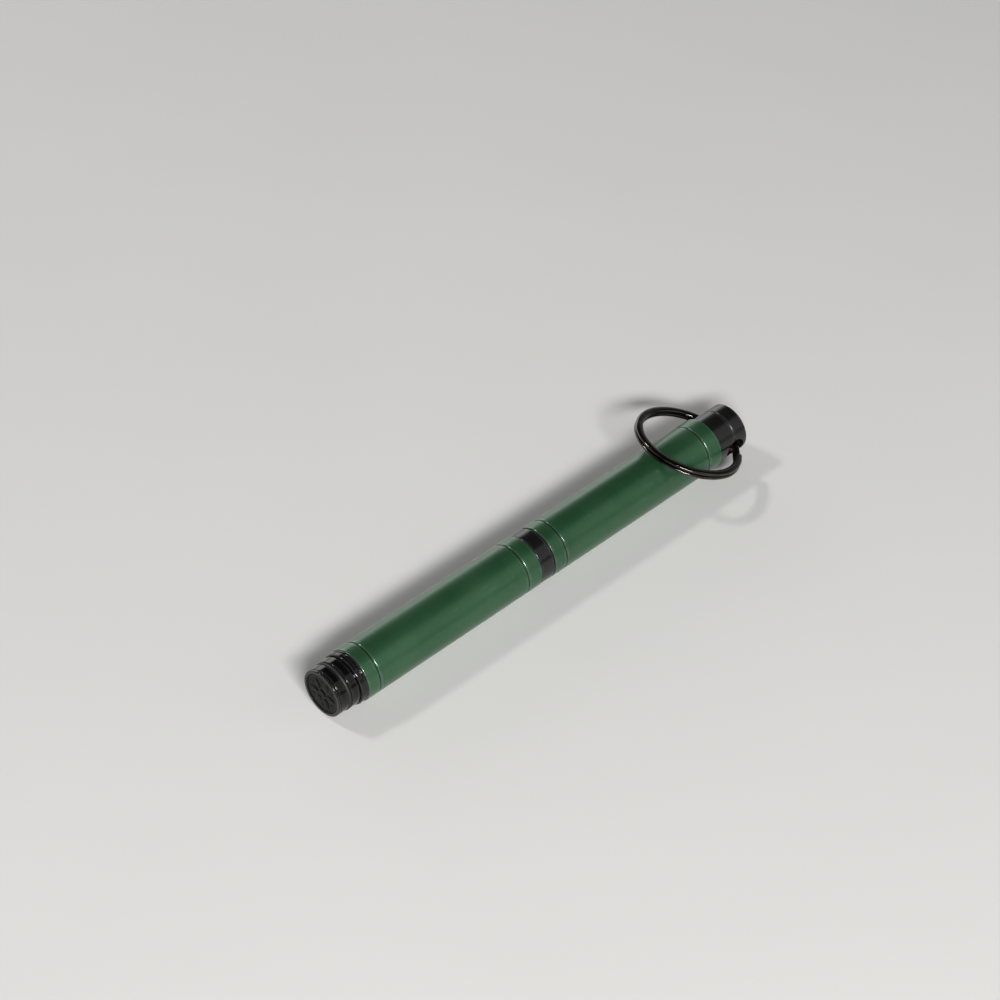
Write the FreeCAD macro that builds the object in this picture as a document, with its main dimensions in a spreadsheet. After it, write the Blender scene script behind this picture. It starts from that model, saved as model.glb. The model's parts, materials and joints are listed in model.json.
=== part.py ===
"""Capped pocket ballpoint pen with a split key ring on its cap.

The pen lies along X: the tail's face is at the origin, the cap's end points to +X, +Z is up.
Every size is in millimetres and comes from the Sizes sheet.
"""
import FreeCAD, Part
import math
import os
import re
import Sketcher

DOCUMENT = FreeCAD.newDocument("KeyRingPen")
SHEET = DOCUMENT.addObject("Spreadsheet::Sheet", "Sizes")

DRIVING_SIZES = {
    # places along the axis, from the tail's face
    "front_section_end": 2.05,
    "rear_section_start": 2.75,
    "flange_start": 4.56,
    "flange_end": 6.00,
    "barrel_end": 44.55,
    "band_end": 47.45,
    "cap_mouth": 47.72,
    "cap_sleeve_end": 88.15,
    "overall_length": 94.97,
    # outside radii
    "tube_radius": 4.75,
    "flange_radius": 4.63,
    "rear_section_radius": 4.35,
    "front_section_radius": 4.22,
    "tail_face_radius": 4.08,
    "band_radius": 4.71,
    "cap_end_radius": 4.33,
    # walls of the two green sleeves
    "barrel_bore_radius": 4.25,
    "cap_bore_radius": 4.375,
    "edge_chamfer": 0.12,
    # small chamfers: on visible edges, and on ends that slide or press into a bore
    "edge_break": 0.10,
    "lead_chamfer": 0.20,
    # turned decoration grooves
    "groove_width": 0.46,
    "groove_depth": 0.16,
    "barrel_groove_tail": 8.48,
    "barrel_groove_band": 41.61,
    "cap_groove_mouth": 50.43,
    "cap_groove_ring": 85.09,
    # tail plug
    "recess_radius": 3.66,
    "recess_depth": 0.42,
    "rim_chamfer": 0.14,
    "tail_line": 0.50,
    "tail_line_width": 0.24,
    "tail_line_depth": 0.12,
    "undercut_width": 0.24,
    "undercut_depth": 0.22,
    "flange_round": 0.17,
    "refill_seat": 2.00,
    "refill_bore_radius": 3.05,
    "tail_spigot_end": 13.0,
    # relief disc in the tail's face
    "medallion_radius": 3.60,
    "medallion_back": 0.26,
    "medallion_rim_width": 0.22,
    "medallion_rim_height": 0.08,
    "relief_height": 0.12,
    "relief_root": 0.05,
    "boss_radius": 0.62,
    "boss_foot_radius": 0.80,
    "petal_start": 0.98,
    "petal_widest": 1.75,
    "petal_end": 2.95,
    "petal_half_width": 0.52,
    "petal_count": 6,
    # soft rings of round section
    "seal_section_radius": 0.31,
    "tail_seal_centre": 2.40,
    "tail_seal_mid_radius": 4.05,
    "cap_seal_centre": 49.95,
    "cap_seal_mid_radius": 4.05,
    "seal_room": 0.04,
    # thread between barrel and writing section, as plain cylinders
    "bushing_start": 34.0,
    "bushing_end": 44.40,
    "thread_radius": 3.65,
    "thread_clearance": 0.05,
    "band_gap": 0.05,
    "section_start": 36.0,
    # writing section and nose
    "cap_seat_radius": 4.32,
    "cap_seat_end": 53.0,
    "grip_radius": 3.90,
    "grip_end": 75.5,
    "grip_ring_start": 57.0,
    "grip_ring_pitch": 1.30,
    "grip_ring_width": 0.60,
    "grip_ring_depth": 0.18,
    "grip_ring_count": 9,
    "seat_taper": 0.50,
    "nose_spigot_start": 71.5,
    "nose_spigot_radius": 3.45,
    "nose_taper_start": 76.4,
    "nose_end": 84.5,
    "nose_end_radius": 1.75,
    "nose_bore_taper": 0.50,
    "refill_shoulder": 74.05,
    "tip_clearance": 0.10,
    # refill
    "refill_start": 2.05,
    "refill_radius": 2.90,
    "refill_wall": 0.30,
    "end_plug_length": 4.0,
    "end_plug_floor": 1.2,
    "end_plug_hollow_radius": 1.2,
    "ink_clearance": 0.01,
    "float_start": 34.0,
    "float_length": 3.0,
    "float_clearance": 0.02,
    "tube_end": 73.0,
    "holder_start": 70.0,
    "holder_flange_end": 74.0,
    "holder_radius": 1.90,
    "holder_end": 80.40,
    "holder_taper": 0.80,
    "ink_way_radius": 0.55,
    "socket_start": 77.0,
    "socket_spigot_radius": 0.95,
    "socket_radius": 1.15,
    "socket_cone_start": 86.2,
    "socket_mouth": 89.0,
    "socket_mouth_radius": 0.62,
    "ball_radius": 0.50,
    "ball_centre": 88.85,
    "ball_clearance": 0.02,
    # cap end
    "cap_spigot_start": 80.5,
    "cap_spigot_end": 88.0,
    "pocket_mouth_radius": 3.70,
    "pocket_radius": 1.55,
    "pocket_cone_end": 86.2,
    "pocket_end": 89.85,
    "end_line": 92.08,
    "end_line_width": 0.16,
    "end_line_depth": 0.10,
    "end_edge_round": 0.22,
    # cross hole and split ring
    "cross_hole_centre": 92.27,
    "cross_hole_radius": 2.04,
    "hole_roll": 16.0,
    "ring_roll": 8.0,
    "ring_pitch": 18.9,
    "ring_mid_radius": 9.12,
    "ring_offset": 8.64,
    "wire_width": 1.36,
    "wire_thickness": 0.70,
    "wire_corner": 0.32,
    "coil_gap": 0.04,
    "crank_span": 16.0,
    "crank_azimuth": -37.0,
}

SUBPARTS = []


def fill_sheet():
    """One row per driving size: its name beside its value."""
    for row, (name, value) in enumerate(DRIVING_SIZES.items(), start=1):
        SHEET.set(f"A{row}", name)
        SHEET.set(f"B{row}", str(value))
        SHEET.setAlias(f"B{row}", name)
    DOCUMENT.recompute()


def size(expression):
    """The value of an expression of sheet names."""
    return float(SHEET.evalExpression(expression))


def bound(expression):
    """The same expression as another object reads it."""
    return re.sub(r"[a-z][a-z_]*", lambda word: "Sizes." + word.group(0), expression)


def origin_feature(body, role):
    return next(item for item in body.Origin.OriginFeatures if item.Role == role)


def new_sketch(body, name, plane, offset=None):
    """A sketch on one of the body's own origin planes."""
    sketch = body.newObject("Sketcher::SketchObject", name)
    sketch.AttachmentSupport = [(origin_feature(body, plane), "")]
    sketch.MapMode = "FlatFace"
    if offset is not None:
        sketch.AttachmentOffset = offset
    return sketch


def pin_vertex(sketch, edge, across, along):
    """Hold the start of an edge at a place given by two expressions."""
    for axis_edge, kind, expression in ((-2, "DistanceX", across), (-1, "DistanceY", along)):
        value = size(expression)
        if abs(value) < 1e-9:
            sketch.addConstraint(Sketcher.Constraint("PointOnObject", edge, 1, axis_edge))
        else:
            index = sketch.addConstraint(Sketcher.Constraint(kind, -1, 1, edge, 1, value))
            sketch.setExpression(f"Constraints[{index}]", bound(expression))


def closed_outline(sketch, outline):
    """A closed outline of straight edges through the given places."""
    corners = [FreeCAD.Vector(size(across), size(along), 0) for across, along in outline]
    for here, there in zip(corners, corners[1:] + corners[:1]):
        sketch.addGeometry(Part.LineSegment(here, there))
    for edge in range(len(corners)):
        following = (edge + 1) % len(corners)
        sketch.addConstraint(Sketcher.Constraint("Coincident", edge, 2, following, 1))
    for edge, (across, along) in enumerate(outline):
        pin_vertex(sketch, edge, across, along)


def turned(label, outline):
    """A body turned about the pen's axis from an outline of (place, radius) corners."""
    body = DOCUMENT.addObject("PartDesign::Body", label)
    sketch = new_sketch(body, label + "_outline", "XY_Plane")
    closed_outline(sketch, outline)
    turning = body.newObject("PartDesign::Revolution", label + "_turning")
    turning.Profile = sketch
    turning.ReferenceAxis = (sketch, ["H_Axis"])
    turning.Angle = 360
    sketch.Visibility = False
    return body


def round_edges(body, radius, corners):
    """Fillet the circular edges of a turned body that pass through (place, radius) corners."""
    DOCUMENT.recompute()
    solid = body.Tip
    wanted = [(size(place), size(reach)) for place, reach in corners]
    names = []
    for number, edge in enumerate(solid.Shape.Edges, start=1):
        curve = edge.Curve
        if not isinstance(curve, Part.Circle):
            continue
        for place, reach in wanted:
            if abs(curve.Center.x - place) < 1e-4 and abs(curve.Radius - reach) < 1e-4:
                names.append(f"Edge{number}")
    if len(names) != len(wanted):
        raise RuntimeError(f"{body.Label}: found {len(names)} of {len(wanted)} edges to round")
    fillet = body.newObject("PartDesign::Fillet", body.Name + "_round_" + radius)
    fillet.Base = (solid, names)
    fillet.setExpression("Radius", bound(radius))
    body.Tip = fillet


def keep(item, label):
    """Take an object as a finished sub-part under its own name."""
    item.Label = label
    SUBPARTS.append(item)
    return item


def groove(centre, radius, width="groove_width", depth="groove_depth"):
    """Corners of a turned groove with sloped sides, cut into a tube of the given radius."""
    return [
        (f"{centre} - {width} / 2", radius),
        (f"{centre} - {width} / 5", f"{radius} - {depth}"),
        (f"{centre} + {width} / 5", f"{radius} - {depth}"),
        (f"{centre} + {width} / 2", radius),
    ]


def tail_plug():
    """Black end that the posted cap slides over, pressed into the barrel sleeve."""
    seal_floor = "tail_seal_mid_radius - seal_section_radius"
    outline = [
        ("recess_depth", "0"),
        ("recess_depth", "recess_radius"),
        ("0", "recess_radius"),
        ("0", "tail_face_radius"),
        ("rim_chamfer", "front_section_radius"),
        *groove("tail_line", "front_section_radius", "tail_line_width", "tail_line_depth"),
        ("front_section_end", "front_section_radius"),
        ("front_section_end", seal_floor),
        ("rear_section_start", seal_floor),
        ("rear_section_start", "rear_section_radius - edge_break"),
        ("rear_section_start + edge_break", "rear_section_radius"),
        ("flange_start - undercut_width", "rear_section_radius"),
        ("flange_start - undercut_width", "rear_section_radius - undercut_depth"),
        ("flange_start", "rear_section_radius - undercut_depth"),
        ("flange_start", "flange_radius"),
        ("flange_end", "flange_radius"),
        ("flange_end", "barrel_bore_radius"),
        ("tail_spigot_end - lead_chamfer", "barrel_bore_radius"),
        ("tail_spigot_end", "barrel_bore_radius - lead_chamfer"),
        ("tail_spigot_end", "refill_bore_radius + lead_chamfer"),
        ("tail_spigot_end - lead_chamfer", "refill_bore_radius"),
        ("refill_seat", "refill_bore_radius"),
        ("refill_seat", "0"),
    ]
    body = turned("tail_plug", outline)
    round_edges(body, "flange_round", [("flange_start", "flange_radius"), ("flange_end", "flange_radius")])
    keep(body, "tail_plug")


def tail_medallion():
    """Thin disc with a plain raised rosette, set in the recess of the tail's face."""
    face = "recess_depth - medallion_back"
    body = turned("tail_medallion", [
        ("recess_depth", "0"),
        ("recess_depth", "medallion_radius"),
        (f"{face} - medallion_rim_height", "medallion_radius"),
        (f"{face} - medallion_rim_height", "medallion_radius - medallion_rim_width"),
        (face, "medallion_radius - medallion_rim_width - medallion_rim_height"),
        (face, "boss_foot_radius"),
        ("0", "boss_radius"),
        ("0", "0"),
    ])
    petal = new_sketch(body, "petal_outline", "YZ_Plane")
    closed_outline(petal, [
        ("petal_start", "0"),
        ("petal_widest", "petal_half_width"),
        ("petal_end", "0"),
        ("petal_widest", "0 - petal_half_width"),
    ])
    petal_pad = body.newObject("PartDesign::Pad", "petal")
    petal_pad.Profile = petal
    petal_pad.setExpression("Length", bound("relief_height + relief_root"))
    petal_pad.Reversed = True
    petal.setExpression("AttachmentOffset.Base.z", bound(f"{face} + relief_root"))
    rosette = body.newObject("PartDesign::PolarPattern", "rosette")
    rosette.Originals = [petal_pad]
    rosette.Axis = (origin_feature(body, "X_Axis"), [""])
    rosette.Angle = 360
    rosette.setExpression("Occurrences", bound("petal_count"))
    body.Tip = rosette
    keep(body, "tail_medallion")


def soft_ring(label, centre, mid_radius):
    """A rubber ring of round section around the pen's axis."""
    ring = DOCUMENT.addObject("Part::Torus", label)
    ring.setExpression("Radius1", bound(mid_radius))
    ring.setExpression("Radius2", bound("seal_section_radius"))
    ring.Placement = FreeCAD.Placement(FreeCAD.Vector(), FreeCAD.Rotation(FreeCAD.Vector(0, 1, 0), 90))
    ring.setExpression("Placement.Base.x", bound(centre))
    keep(ring, label)


def barrel_sleeve():
    """Green tube of the barrel, with one groove near each end."""
    outline = [
        ("flange_end", "barrel_bore_radius"),
        ("flange_end", "tube_radius - edge_chamfer"),
        ("flange_end + edge_chamfer", "tube_radius"),
        *groove("barrel_groove_tail", "tube_radius"),
        *groove("barrel_groove_band", "tube_radius"),
        ("barrel_end - edge_chamfer", "tube_radius"),
        ("barrel_end", "tube_radius - edge_chamfer"),
        ("barrel_end", "barrel_bore_radius"),
    ]
    keep(turned("barrel_sleeve", outline), "barrel_sleeve")


def barrel_bushing():
    """Brass insert that the writing section screws into."""
    outline = [
        ("bushing_start", "thread_radius + lead_chamfer"),
        ("bushing_start", "barrel_bore_radius - lead_chamfer"),
        ("bushing_start + lead_chamfer", "barrel_bore_radius"),
        ("bushing_end", "barrel_bore_radius"),
        ("bushing_end", "thread_radius + lead_chamfer"),
        ("bushing_end - lead_chamfer", "thread_radius"),
        ("bushing_start + lead_chamfer", "thread_radius"),
    ]
    keep(turned("barrel_bushing", outline), "barrel_bushing")


def centre_band():
    """Black ring trapped between the barrel and the shoulder of the writing section."""
    outline = [
        ("barrel_end + band_gap", "thread_radius - thread_clearance"),
        ("barrel_end + band_gap", "band_radius - edge_break"),
        ("barrel_end + band_gap + edge_break", "band_radius"),
        ("band_end - edge_break", "band_radius"),
        ("band_end", "band_radius - edge_break"),
        ("band_end", "thread_radius - thread_clearance"),
    ]
    keep(turned("centre_band", outline), "centre_band")


def grip_section():
    """Black writing section: threaded shank, cap seat with a seal groove, ringed grip."""
    seal_floor = "cap_seal_mid_radius - seal_section_radius"
    seal_side = "(seal_section_radius + seal_room)"
    outline = [
        ("section_start", "refill_bore_radius"),
        ("section_start", "thread_radius - thread_clearance - lead_chamfer"),
        ("section_start + lead_chamfer", "thread_radius - thread_clearance"),
        ("band_end", "thread_radius - thread_clearance"),
        ("band_end", "cap_seat_radius"),
        (f"cap_seal_centre - {seal_side}", "cap_seat_radius"),
        (f"cap_seal_centre - {seal_side}", seal_floor),
        (f"cap_seal_centre + {seal_side}", seal_floor),
        (f"cap_seal_centre + {seal_side}", "cap_seat_radius"),
        ("cap_seat_end - seat_taper", "cap_seat_radius"),
        ("cap_seat_end", "grip_radius"),
    ]
    for number in range(int(size("grip_ring_count"))):
        centre = f"grip_ring_start + {number} * grip_ring_pitch"
        outline += groove(centre, "grip_radius", "grip_ring_width", "grip_ring_depth")
    outline += [
        ("grip_end", "grip_radius"),
        ("grip_end", "nose_spigot_radius"),
        ("nose_spigot_start", "nose_spigot_radius"),
        ("nose_spigot_start", "refill_bore_radius"),
    ]
    keep(turned("grip_section", outline), "grip_section")


def nose_cone():
    """Tapered nose screwed into the grip, with a shoulder that holds the refill back."""
    tip_way = "socket_radius + tip_clearance"
    holder_way = "holder_radius + tip_clearance"
    outline = [
        ("nose_spigot_start", "refill_bore_radius"),
        ("nose_spigot_start", "nose_spigot_radius"),
        ("grip_end", "nose_spigot_radius"),
        ("grip_end", "grip_radius - edge_break"),
        ("grip_end + edge_break", "grip_radius"),
        ("nose_taper_start", "grip_radius"),
        ("nose_end - lead_chamfer", "nose_end_radius"),
        ("nose_end", "nose_end_radius - lead_chamfer"),
        ("nose_end", tip_way),
        ("holder_end + nose_bore_taper", tip_way),
        ("holder_end - nose_bore_taper", holder_way),
        ("refill_shoulder", holder_way),
        ("refill_shoulder", "refill_bore_radius"),
    ]
    keep(turned("nose_cone", outline), "nose_cone")


def refill():
    """Pressurised refill: tube, end plug, sliding float, ink, tip holder, socket and ball."""
    tube_bore = "refill_radius - refill_wall"
    float_end = "float_start + float_length"
    keep(turned("refill_tube", [
        ("refill_start", tube_bore),
        ("refill_start", "refill_radius - edge_break"),
        ("refill_start + edge_break", "refill_radius"),
        ("tube_end", "refill_radius"),
        ("tube_end", tube_bore),
    ]), "refill_tube")
    keep(turned("refill_end_plug", [
        ("refill_start", "0"),
        ("refill_start", tube_bore),
        ("refill_start + end_plug_length", tube_bore),
        ("refill_start + end_plug_length", "end_plug_hollow_radius"),
        ("refill_start + end_plug_floor", "end_plug_hollow_radius"),
        ("refill_start + end_plug_floor", "0"),
    ]), "refill_end_plug")
    keep(turned("refill_float", [
        ("float_start", "0"),
        ("float_start", f"{tube_bore} - float_clearance - lead_chamfer"),
        ("float_start + lead_chamfer", f"{tube_bore} - float_clearance"),
        (float_end, f"{tube_bore} - float_clearance"),
        (float_end, "0"),
    ]), "refill_float")
    keep(turned("ink_column", [
        (float_end, "0"),
        (float_end, f"{tube_bore} - ink_clearance"),
        ("holder_start", f"{tube_bore} - ink_clearance"),
        ("holder_start", "0"),
    ]), "ink_column")
    keep(turned("tip_holder", [
        ("holder_start", "ink_way_radius"),
        ("holder_start", tube_bore),
        ("tube_end", tube_bore),
        ("tube_end", "refill_radius"),
        ("holder_flange_end", "refill_radius"),
        ("holder_flange_end", "holder_radius"),
        ("holder_end - holder_taper", "holder_radius"),
        ("holder_end", "socket_radius"),
        ("holder_end", "socket_spigot_radius"),
        ("socket_start", "socket_spigot_radius"),
        ("socket_start", "ink_way_radius"),
    ]), "tip_holder")


def nib():
    """Socket that is spun round the writing ball, and the ball in it."""
    blank = turned("nib_blank", [
        ("socket_start", "ink_way_radius / 2"),
        ("socket_start", "socket_spigot_radius"),
        ("holder_end", "socket_spigot_radius"),
        ("holder_end", "socket_radius"),
        ("socket_cone_start", "socket_radius"),
        ("socket_mouth", "socket_mouth_radius"),
        ("socket_mouth", "ink_way_radius / 2"),
    ])
    seat = DOCUMENT.addObject("Part::Sphere", "ball_seat")
    seat.setExpression("Radius", bound("ball_radius + ball_clearance"))
    seat.setExpression("Placement.Base.x", bound("ball_centre"))
    socket = DOCUMENT.addObject("Part::Cut", "nib_socket")
    socket.Base = blank
    socket.Tool = seat
    keep(socket, "nib_socket")
    ball = DOCUMENT.addObject("Part::Sphere", "writing_ball")
    ball.setExpression("Radius", bound("ball_radius"))
    ball.setExpression("Placement.Base.x", bound("ball_centre"))
    keep(ball, "writing_ball")


def cap_sleeve():
    """Green tube of the cap, with one groove near each end."""
    outline = [
        ("cap_mouth", "cap_bore_radius + edge_break"),
        ("cap_mouth", "tube_radius - edge_chamfer"),
        ("cap_mouth + edge_chamfer", "tube_radius"),
        *groove("cap_groove_mouth", "tube_radius"),
        *groove("cap_groove_ring", "tube_radius"),
        ("cap_sleeve_end - edge_chamfer", "tube_radius"),
        ("cap_sleeve_end", "tube_radius - edge_chamfer"),
        ("cap_sleeve_end", "cap_bore_radius"),
        ("cap_mouth + lead_chamfer", "cap_bore_radius"),
    ]
    keep(turned("cap_sleeve", outline), "cap_sleeve")


def cap_end():
    """Black end of the cap: spigot with a pocket for the tip, and the key ring's cross hole."""
    blank = turned("cap_end_blank", [
        ("cap_spigot_start", "pocket_mouth_radius"),
        ("cap_spigot_start", "cap_bore_radius - lead_chamfer"),
        ("cap_spigot_start + lead_chamfer", "cap_bore_radius"),
        ("cap_spigot_end", "cap_bore_radius"),
        ("cap_spigot_end", "cap_end_radius"),
        ("end_line - end_line_width / 2", "cap_end_radius"),
        ("end_line", "cap_end_radius - end_line_depth"),
        ("end_line + end_line_width / 2", "cap_end_radius"),
        ("overall_length", "cap_end_radius"),
        ("overall_length", "0"),
        ("pocket_end", "0"),
        ("pocket_end", "pocket_radius"),
        ("pocket_cone_end", "pocket_radius"),
    ])
    round_edges(blank, "end_edge_round", [("overall_length", "cap_end_radius")])
    drill = DOCUMENT.addObject("Part::Cylinder", "cross_hole")
    drill.setExpression("Radius", bound("cross_hole_radius"))
    drill.setExpression("Height", bound("cap_end_radius * 4"))
    roll = size("hole_roll")
    upright = FreeCAD.Rotation(FreeCAD.Vector(1, 0, 0), roll - 90)
    start = upright.multVec(FreeCAD.Vector(0, 0, -size("cap_end_radius * 2")))
    drill.Placement = FreeCAD.Placement(start + FreeCAD.Vector(size("cross_hole_centre"), 0, 0), upright)
    finished = DOCUMENT.addObject("Part::Cut", "cap_end")
    finished.Base = blank
    finished.Tool = drill
    keep(finished, "cap_end")


def wire_section(body, name, azimuth, level):
    """Rounded flat section of the ring's wire, on the half plane at an azimuth about Z."""
    turn = FreeCAD.Placement(FreeCAD.Vector(), FreeCAD.Rotation(FreeCAD.Vector(0, 1, 0), azimuth))
    sketch = new_sketch(body, name, "XZ_Plane", turn)
    half_width = size("wire_width / 2")
    half_thick = size("wire_thickness / 2")
    corner = size("wire_corner")
    mid = size("ring_mid_radius")
    height = size(level)
    centres = [(1, 1, 0), (-1, 1, 90), (-1, -1, 180), (1, -1, 270)]
    for across, up, start in centres:
        centre = FreeCAD.Vector(mid + across * (half_width - corner), height + up * (half_thick - corner), 0)
        circle = Part.Circle(centre, FreeCAD.Vector(0, 0, 1), corner)
        sketch.addGeometry(Part.ArcOfCircle(circle, math.radians(start), math.radians(start + 90)))
    for arc in range(4):
        following = (arc + 1) % 4
        ends = [sketch.Geometry[arc].EndPoint, sketch.Geometry[following].StartPoint]
        sketch.addGeometry(Part.LineSegment(*ends))
    for arc in range(4):
        following = (arc + 1) % 4
        sketch.addConstraint(Sketcher.Constraint("Tangent", arc, 2, 4 + arc, 1))
        sketch.addConstraint(Sketcher.Constraint("Tangent", 4 + arc, 2, following, 1))
    for arc in range(1, 4):
        sketch.addConstraint(Sketcher.Constraint("Equal", 0, arc))
    sketch.addConstraint(Sketcher.Constraint("Horizontal", 4))
    sketch.addConstraint(Sketcher.Constraint("Vertical", 5))
    sketch.addConstraint(Sketcher.Constraint("Horizontal", 6))
    driven = [
        (Sketcher.Constraint("Radius", 0, corner), "wire_corner"),
        (Sketcher.Constraint("DistanceX", -1, 1, 0, 3, mid + half_width - corner),
         "ring_mid_radius + wire_width / 2 - wire_corner"),
        (Sketcher.Constraint("DistanceX", -1, 1, 1, 3, mid - half_width + corner),
         "ring_mid_radius - wire_width / 2 + wire_corner"),
        (Sketcher.Constraint("DistanceY", -1, 1, 0, 3, height + half_thick - corner),
         f"{level} + wire_thickness / 2 - wire_corner"),
        (Sketcher.Constraint("DistanceY", -1, 1, 3, 3, height - half_thick + corner),
         f"{level} - wire_thickness / 2 + wire_corner"),
    ]
    for constraint, expression in driven:
        index = sketch.addConstraint(constraint)
        sketch.setExpression(f"Constraints[{index}]", bound(expression))
    return sketch


def coil(body, name, level):
    """One turn of the ring, open over the span of the crank."""
    sketch = wire_section(body, name + "_section", 0, level)
    turn = body.newObject("PartDesign::Revolution", name)
    turn.Profile = sketch
    turn.ReferenceAxis = (sketch, ["V_Axis"])
    turn.Midplane = True
    turn.setExpression("Angle", bound("360 - crank_span"))
    return turn


def split_ring():
    """Key ring of two flat coils joined by one crank, threaded through the cross hole."""
    body = DOCUMENT.addObject("PartDesign::Body", "split_ring")
    step = "(wire_thickness + coil_gap) / 2"
    coil(body, "lower_coil", f"0 - {step}")
    span = size("crank_span")
    shares = [0.0, 0.25, 0.5, 0.75, 1.0]
    sections = []
    for number, share in enumerate(shares):
        rise = -math.cos(math.pi * share)
        azimuth = 180 + span * (share - 0.5)
        level = f"{step} * {rise:.6f}"
        sections.append(wire_section(body, f"crank_section_{number}", azimuth, level))
    crank = body.newObject("PartDesign::AdditiveLoft", "crank")
    crank.Profile = sections[0]
    crank.Sections = sections[1:]
    coil(body, "upper_coil", step)
    hinge = FreeCAD.Vector(size("cross_hole_centre"), 0, 0)
    lean = FreeCAD.Rotation(FreeCAD.Vector(1, 0, 0), size("ring_roll"))
    lean = lean.multiply(FreeCAD.Rotation(FreeCAD.Vector(0, 1, 0), size("ring_pitch")))
    centre = hinge - lean.multVec(FreeCAD.Vector(size("ring_offset"), 0, 0))
    turn = FreeCAD.Rotation(FreeCAD.Vector(0, 0, 1), size("crank_azimuth - 180"))
    body.Placement = FreeCAD.Placement(centre, lean.multiply(turn))
    keep(body, "split_ring")


def check(items):
    """Stop if any object failed, or if a sub-part has no sound solid."""
    for item in items:
        if "Invalid" in item.State or "Error" in item.State:
            raise RuntimeError(f"{item.Label} failed: {item.State}")
    for item in SUBPARTS:
        if item.Shape.isNull() or not item.Shape.isValid() or not item.Shape.Solids:
            raise RuntimeError(f"{item.Label} has no sound solid")


def main():
    fill_sheet()
    tail_plug()
    tail_medallion()
    soft_ring("tail_seal", "tail_seal_centre", "tail_seal_mid_radius")
    barrel_sleeve()
    barrel_bushing()
    centre_band()
    grip_section()
    nose_cone()
    soft_ring("section_seal", "cap_seal_centre", "cap_seal_mid_radius")
    refill()
    nib()
    cap_sleeve()
    cap_end()
    split_ring()
    DOCUMENT.recompute()
    check(DOCUMENT.Objects)
    os.makedirs("parts", exist_ok=True)
    for item in SUBPARTS:
        item.Shape.exportStep(f"parts/{item.Label}.step")
        print(f"{item.Label}: {len(item.Shape.Solids)} solid, {item.Shape.Volume:.2f} mm3")


main()
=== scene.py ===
"""Looks of the capped pocket ballpoint pen: finishes, studio and camera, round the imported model."""

import json
import math
from collections import namedtuple

import bmesh
import bpy
from mathutils import Matrix, Vector


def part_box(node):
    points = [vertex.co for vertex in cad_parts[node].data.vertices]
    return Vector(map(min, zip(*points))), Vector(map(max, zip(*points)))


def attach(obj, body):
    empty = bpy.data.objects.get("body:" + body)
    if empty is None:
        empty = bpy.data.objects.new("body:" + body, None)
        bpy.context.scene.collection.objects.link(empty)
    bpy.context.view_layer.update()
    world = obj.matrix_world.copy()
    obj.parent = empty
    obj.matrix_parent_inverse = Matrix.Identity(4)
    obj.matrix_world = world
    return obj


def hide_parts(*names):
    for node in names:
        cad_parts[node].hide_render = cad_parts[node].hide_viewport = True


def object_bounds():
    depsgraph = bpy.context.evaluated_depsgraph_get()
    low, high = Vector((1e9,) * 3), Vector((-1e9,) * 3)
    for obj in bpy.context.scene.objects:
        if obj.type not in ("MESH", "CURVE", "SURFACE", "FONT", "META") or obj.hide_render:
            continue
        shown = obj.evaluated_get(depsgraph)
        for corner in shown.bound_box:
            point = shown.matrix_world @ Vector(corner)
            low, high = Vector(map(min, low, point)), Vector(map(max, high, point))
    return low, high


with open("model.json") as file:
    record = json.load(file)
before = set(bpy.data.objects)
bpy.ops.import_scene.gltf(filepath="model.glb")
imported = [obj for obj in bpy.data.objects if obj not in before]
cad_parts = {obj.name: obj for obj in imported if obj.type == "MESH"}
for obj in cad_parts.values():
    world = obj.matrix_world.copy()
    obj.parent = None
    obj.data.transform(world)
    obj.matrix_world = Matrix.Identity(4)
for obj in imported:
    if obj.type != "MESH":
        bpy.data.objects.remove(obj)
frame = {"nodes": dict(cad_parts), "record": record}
CAD_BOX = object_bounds()

MM = 0.001
TINY = 1e-9
AXIS_MARGIN = 1e-6

# camera, as the pen is seen: the point it looks at, its distance and its direction
AIM = Vector((52.555, 13.68, 0.045)) * MM
CAMERA_DISTANCE = 505.87 * MM
CAMERA_AZIMUTH = -44.0
CAMERA_ELEVATION = 41.555
LENS = 106.99
SENSOR = 36.0
CLIP_START = 10 * MM

# turned pieces, in millimetres
SIDES = 160
ARC_STEPS = 5
ARC_LIMIT = 0.45
SUPPORT = 0.30
SUPPORT_LIMIT = 2.2
INNER_ROUNDING = 0.04
SPIGOT_ROUNDING = 0.20
TUBE_ROUNDING = 0.13
TUBE_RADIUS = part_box("barrel_sleeve")[1].z / MM
BARREL_BORE_RADIUS = 4.25
CAP_BORE_RADIUS = 4.375
BARREL_GROOVES = (8.48, 41.61)
CAP_GROOVES = (50.43, 85.09)
BAND_BORE_RADIUS = 3.60
BAND_ROUNDING = 0.12

# turned grooves, in millimetres: depth, half width at the surface and at the floor, and rounding of the lips
Groove = namedtuple("Groove", "depth half_width floor_half_width lip_rounding")
TUBE_GROOVE = Groove(0.16, 0.23, 0.09, 0.22)
END_LINE_GROOVE = Groove(0.10, 0.13, 0.02, 0.15)
TAIL_LINE_GROOVE = Groove(0.12, 0.12, 0.05, 0.15)
FLANGE_LINE_GROOVE = Groove(0.12, 0.16, 0.04, 0.15)

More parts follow.
